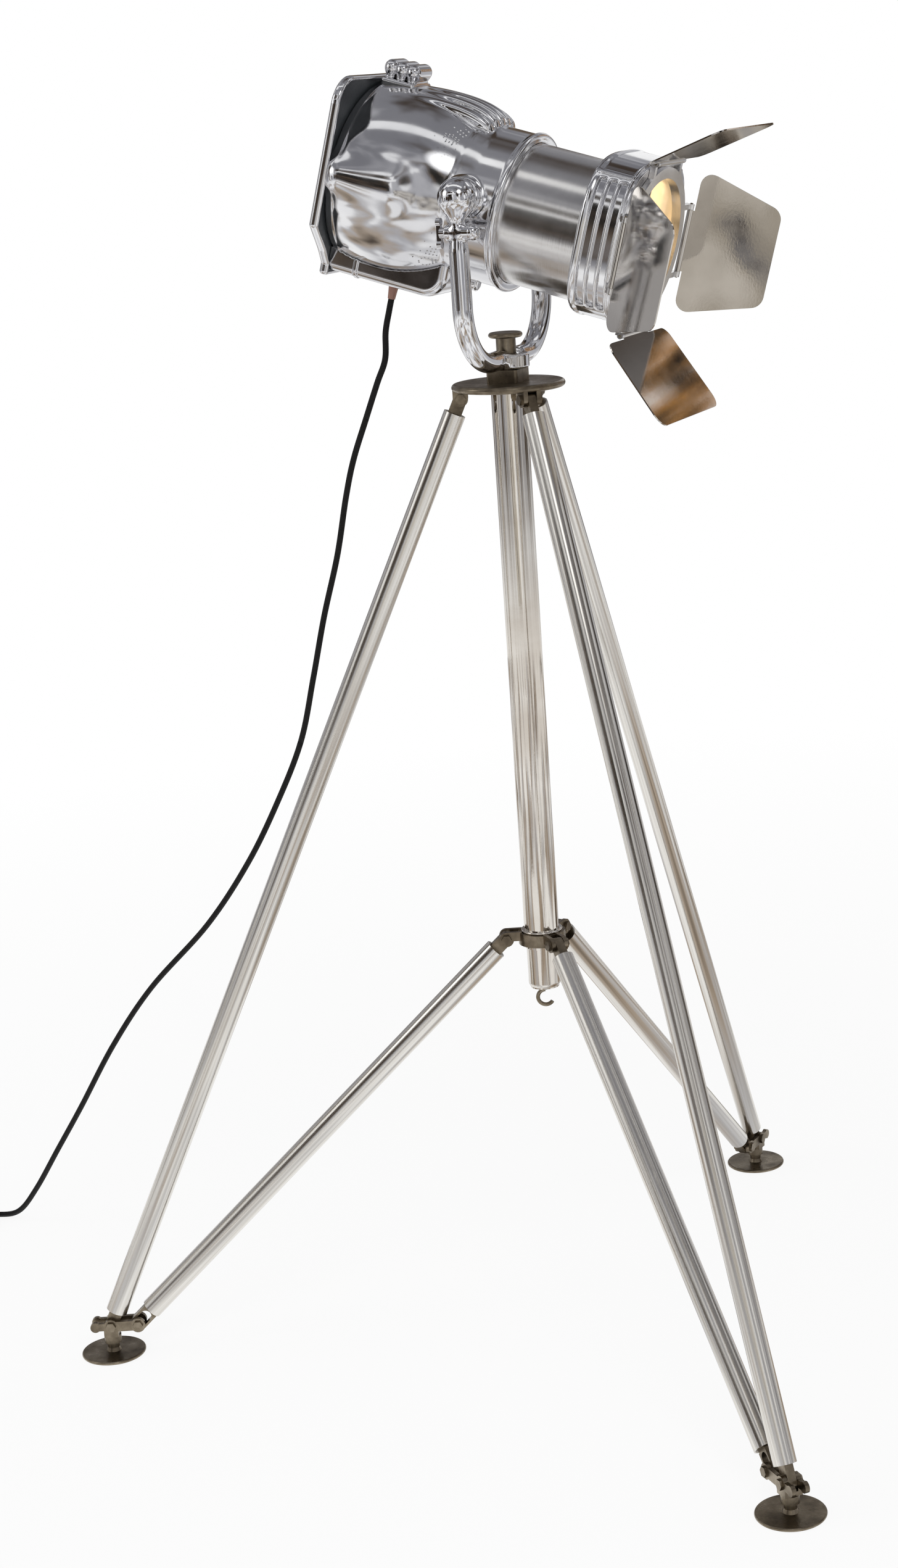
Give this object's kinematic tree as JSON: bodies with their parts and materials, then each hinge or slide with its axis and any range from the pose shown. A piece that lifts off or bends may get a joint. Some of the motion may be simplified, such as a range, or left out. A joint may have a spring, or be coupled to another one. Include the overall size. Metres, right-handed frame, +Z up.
{
  "type": "tripod spotlight floor lamp",
  "caption": "Polished spotlight with barn doors in a yoke, on a folding tripod with braces, a sliding collar and a rising centre column.",
  "frame": {"origin": "the point on the floor under the column's axis", "axes": "+Z up along the column, +X the horizontal direction in which the lamp points, +Y to its left"},
  "size_m": [1.3987, 0.9634, 1.4779],
  "materials": {
    "bronze": "antique bronze, satin",
    "polished_aluminium": "mirror polished casting",
    "column_steel": "mirror polished tube",
    "satin_aluminium": "polished lengthwise",
    "brushed_tube": "turned and brushed",
    "stainless": "polished sheet",
    "charcoal": "satin charcoal",
    "cord_black": "satin",
    "gland": "translucent brown sleeve",
    "lens_glass": "clear",
    "bulb_glass": "warm, lit",
    "socket_ceramic": "glazed white"
  },
  "bodies": {
    "root": {"hub_plate": "bronze", "hub_pins": "bronze", "outer_column": "column_steel", "power_cord": "cord_black", "cord_coil": "cord_black", "mains_plug": "cord_black"},
    "riser": {"riser_tube": "column_steel", "riser_cap": "column_steel", "weight_hook": "bronze", "column_head": "bronze", "pan_knob": "bronze"},
    "yoke": {"yoke": "polished_aluminium", "tilt_clamp": "polished_aluminium", "pivot_washers": "polished_aluminium"},
    "head": {"lamp_housing": "polished_aluminium", "vent_cowl": "polished_aluminium", "rear_cover": "polished_aluminium", "rear_panel": "charcoal", "cover_screws": "stainless", "base_skirt": "polished_aluminium", "cord_gland": "gland", "lens_tube": "brushed_tube", "front_housing": "polished_aluminium", "lens": "lens_glass", "lens_retainer": "brushed_tube", "reflector": "polished_aluminium", "lamp_socket": "socket_ceramic", "bulb": "bulb_glass", "socket_bracket": "brushed_tube", "pivot_studs": "polished_aluminium"},
    "door_ring": {"door_ring": "brushed_tube", "hinge_pins": "bronze"},
    "leaf_top": {"leaf_top": "stainless"},
    "leaf_bottom": {"leaf_bottom": "stainless"},
    "leaf_near": {"leaf_near": "stainless"},
    "leaf_far": {"leaf_far": "stainless"},
    "collar": {"sliding_collar": "bronze", "collar_bush": "column_steel", "collar_pins": "bronze"},
    "leg_1": {"leg_1": "satin_aluminium", "leg_1_ends": "bronze"},
    "brace_1": {"brace_1": "satin_aluminium", "brace_1_ends": "bronze"},
    "foot_1": {"foot_bracket_1": "bronze", "foot_disc_1": "bronze", "foot_pins_1": "bronze"},
    "leg_2": {"leg_2": "satin_aluminium", "leg_2_ends": "bronze"},
    "brace_2": {"brace_2": "satin_aluminium", "brace_2_ends": "bronze"},
    "foot_2": {"foot_bracket_2": "bronze", "foot_disc_2": "bronze", "foot_pins_2": "bronze"},
    "leg_3": {"leg_3": "satin_aluminium", "leg_3_ends": "bronze"},
    "brace_3": {"brace_3": "satin_aluminium", "brace_3_ends": "bronze"},
    "foot_3": {"foot_bracket_3": "bronze", "foot_disc_3": "bronze", "foot_pins_3": "bronze"}
  },
  "joints": [
    {"name": "riser_slide", "type": "slide", "parent": "root", "child": "riser", "axis": [0, 0, 1], "range_m": [0, 0.2], "deforming": ["power_cord"]},
    {"name": "yoke_pan", "type": "hinge", "parent": "riser", "child": "yoke", "pos_m": [0, 0, 1.14], "axis": [0, 0, 1], "range_deg": [-90, 90], "deforming": ["power_cord"]},
    {"name": "head_tilt", "type": "hinge", "parent": "yoke", "child": "head", "pos_m": [0, 0, 1.328], "axis": [0, 1, 0], "range_deg": [-38, 15], "deforming": ["power_cord"]},
    {"name": "door_turn", "type": "hinge", "parent": "head", "child": "door_ring", "pos_m": [0.1785, 0, 1.26121], "axis": [0.9613, 0, -0.2756], "range_deg": [-45, 45]},
    {"name": "leaf_top_hinge", "type": "hinge", "parent": "door_ring", "child": "leaf_top", "pos_m": [0.20442, 0, 1.35157], "axis": [0, -1, 0], "range_deg": [-56, 49]},
    {"name": "leaf_bottom_hinge", "type": "hinge", "parent": "door_ring", "child": "leaf_bottom", "pos_m": [0.1526, 0, 1.17085], "axis": [0, 1, 0], "range_deg": [-60, 45]},
    {"name": "leaf_far_hinge", "type": "hinge", "parent": "door_ring", "child": "leaf_far", "pos_m": [0.1785, 0.1, 1.26121], "axis": [0.2756, 0, 0.9613], "range_deg": [-35, 70]},
    {"name": "leaf_near_hinge", "type": "hinge", "parent": "door_ring", "child": "leaf_near", "pos_m": [0.1785, -0.1, 1.26121], "axis": [-0.2756, 0, -0.9613], "range_deg": [-59, 46]},
    {"name": "leg_1_fold", "type": "hinge", "parent": "root", "child": "leg_1", "pos_m": [-0.04933, -0.02196, 1.103], "axis": [0.4067, -0.9135, 0], "range_deg": [0, 14]},
    {"name": "foot_1_level", "type": "hinge", "parent": "leg_1", "child": "foot_1", "pos_m": [-0.48783, -0.2172, 0.036], "axis": [0.4067, -0.9135, 0], "range_deg": [-14, 0]},
    {"name": "brace_1_fold", "type": "hinge", "parent": "collar", "child": "brace_1", "pos_m": [-0.03746, -0.01668, 0.478], "axis": [0.4067, -0.9135, 0], "range_deg": [0, 29.03]},
    {"name": "leg_2_fold", "type": "hinge", "parent": "root", "child": "leg_2", "pos_m": [0.04013, -0.03613, 1.103], "axis": [0.6691, 0.7431, 0], "range_deg": [0, 14]},
    {"name": "foot_2_level", "type": "hinge", "parent": "leg_2", "child": "foot_2", "pos_m": [0.39684, -0.35732, 0.036], "axis": [0.6691, 0.7431, 0], "range_deg": [-14, 0]},
    {"name": "brace_2_fold", "type": "hinge", "parent": "collar", "child": "brace_2", "pos_m": [0.03047, -0.02743, 0.478], "axis": [0.6691, 0.7431, 0], "range_deg": [0, 29.03]},
    {"name": "leg_3_fold", "type": "hinge", "parent": "root", "child": "leg_3", "pos_m": [0.00564, 0.0537, 1.103], "axis": [-0.9945, 0.1045, 0], "range_deg": [0, 14]},
    {"name": "foot_3_level", "type": "hinge", "parent": "leg_3", "child": "foot_3", "pos_m": [0.05582, 0.53107, 0.036], "axis": [-0.9945, 0.1045, 0], "range_deg": [-14, 0]},
    {"name": "brace_3_fold", "type": "hinge", "parent": "collar", "child": "brace_3", "pos_m": [0.00429, 0.04077, 0.478], "axis": [-0.9945, 0.1045, 0], "range_deg": [0, 29.03]},
    {"name": "collar_slide", "type": "slide", "parent": "root", "child": "collar", "axis": [0, 0, 1], "range_m": [0, 0.08375]}
  ],
  "couplings": [
    {"joint": "leg_2_fold", "follows": "leg_1_fold", "ratio": 1},
    {"joint": "leg_3_fold", "follows": "leg_1_fold", "ratio": 1},
    {"joint": "foot_1_level", "follows": "leg_1_fold", "ratio": -1},
    {"joint": "brace_1_fold", "follows": "leg_1_fold", "ratio": 2.0735},
    {"joint": "foot_2_level", "follows": "leg_1_fold", "ratio": -1},
    {"joint": "brace_2_fold", "follows": "leg_1_fold", "ratio": 2.0735},
    {"joint": "foot_3_level", "follows": "leg_1_fold", "ratio": -1},
    {"joint": "brace_3_fold", "follows": "leg_1_fold", "ratio": 2.0735},
    {"joint": "collar_slide", "follows": "leg_1_fold", "m_per_rad": 0.34273}
  ]
}
